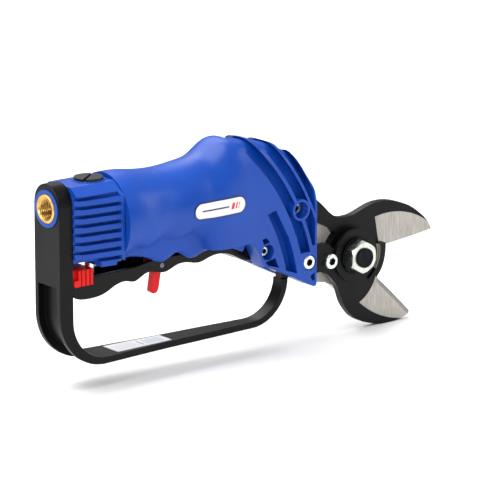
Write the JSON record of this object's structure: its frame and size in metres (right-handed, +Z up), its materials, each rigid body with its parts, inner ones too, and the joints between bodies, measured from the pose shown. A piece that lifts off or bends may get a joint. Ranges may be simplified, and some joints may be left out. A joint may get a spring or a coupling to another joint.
{
  "type": "pneumatic pruner",
  "caption": "Hand-held pneumatic pruning shear: waisted barrel, finned valve block, loop hand guard, long trigger and two curved blades on a bolt.",
  "frame": {"origin": "centre of the air inlet mouth on the rear face of the hand guard", "axes": "+X forward to the blades, +Z up from trigger to barrel, +Y to the side away from the pivot nut"},
  "size_m": [0.2884, 0.051, 0.1322],
  "materials": {
    "blue_plastic": "moulded, semi-gloss",
    "black_plastic": "moulded, fine grain",
    "red_plastic": "moulded",
    "dark_plug": "turned or moulded",
    "brass": "machined",
    "black_steel": "black coated, ground edge bare",
    "bare_steel": "ground",
    "zinc_steel": "bright zinc plate",
    "aluminium": "machined",
    "spring_steel": "drawn wire",
    "seal_rubber": "moulded",
    "label_white": "printed film"
  },
  "bodies": {
    "body": {"barrel_housing": "blue_plastic", "valve_block": "blue_plastic", "hand_guard": "black_plastic", "inlet_bush": "brass", "top_plug": "dark_plug", "plug_seal": "seal_rubber", "valve_seat": "brass", "valve_spring": "spring_steel", "block_screws": "zinc_steel", "cylinder_liner": "aluminium", "cylinder_cap": "aluminium", "cap_seal": "seal_rubber", "rod_guide": "aluminium", "rod_seal": "seal_rubber", "return_spring": "spring_steel", "lower_blade": "black_steel", "blade_carrier": "bare_steel", "near_cheek": "bare_steel", "carrier_spacer": "bare_steel", "pivot_bolt": "black_steel", "pivot_nut": "zinc_steel", "pivot_washer": "zinc_steel", "bolt_washer": "zinc_steel", "upper_screws": "zinc_steel", "front_screw": "zinc_steel", "front_nut": "zinc_steel", "tang_screw": "zinc_steel", "trigger_screw": "zinc_steel", "trigger_nut": "zinc_steel", "name_label": "label_white", "guard_label": "label_white"},
    "cutting_blade": {"upper_blade": "black_steel", "blade_bush": "brass"},
    "piston_group": {"piston": "aluminium", "piston_seal": "seal_rubber", "piston_rod": "zinc_steel", "rod_fork": "bare_steel", "fork_pin": "zinc_steel"},
    "valve": {"valve_stem": "zinc_steel", "valve_disc": "seal_rubber"},
    "trigger": {"trigger": "black_plastic", "lever_pin": "zinc_steel", "lever_spring": "spring_steel"},
    "safety_lever": {"safety_lever": "red_plastic"},
    "trigger_lock": {"trigger_lock": "red_plastic"}
  },
  "joints": [
    {"name": "blade_pivot", "type": "hinge", "parent": "body", "child": "cutting_blade", "pos_m": [0.222, 0, -0.0614], "axis": [0, 1, 0], "range_deg": [0, 50], "stiffness_Nm_per_rad": 0.6, "springref_deg": -14.32},
    {"name": "piston_slide", "type": "slide", "parent": "body", "child": "piston_group", "axis": [1, 0, 0], "range_m": [0, 0.0301], "deforming": ["return_spring"]},
    {"name": "trigger_hinge", "type": "hinge", "parent": "body", "child": "trigger", "pos_m": [0.1438, 0, -0.0445], "axis": [0, 1, 0], "range_deg": [0, 1.8], "stiffness_Nm_per_rad": 2, "springref_deg": -1.72},
    {"name": "valve_slide", "type": "slide", "parent": "body", "child": "valve", "axis": [0, 0, 1], "range_m": [0, 0.0036], "deforming": ["valve_spring"]},
    {"name": "safety_hinge", "type": "hinge", "parent": "trigger", "child": "safety_lever", "pos_m": [0.0746, 0, -0.0434], "axis": [0, 1, 0], "range_deg": [0, 20], "stiffness_Nm_per_rad": 0.01, "springref_deg": -11.46, "deforming": ["lever_spring"]},
    {"name": "lock_slide", "type": "slide", "parent": "trigger", "child": "trigger_lock", "axis": [0, 1, 0], "range_m": [0, 0.0028]}
  ],
  "couplings": [
    {"joint": "piston_slide", "follows": "blade_pivot", "m_per_rad": 0.034377},
    {"joint": "valve_slide", "follows": "trigger_hinge", "m_per_rad": 0.1143}
  ]
}
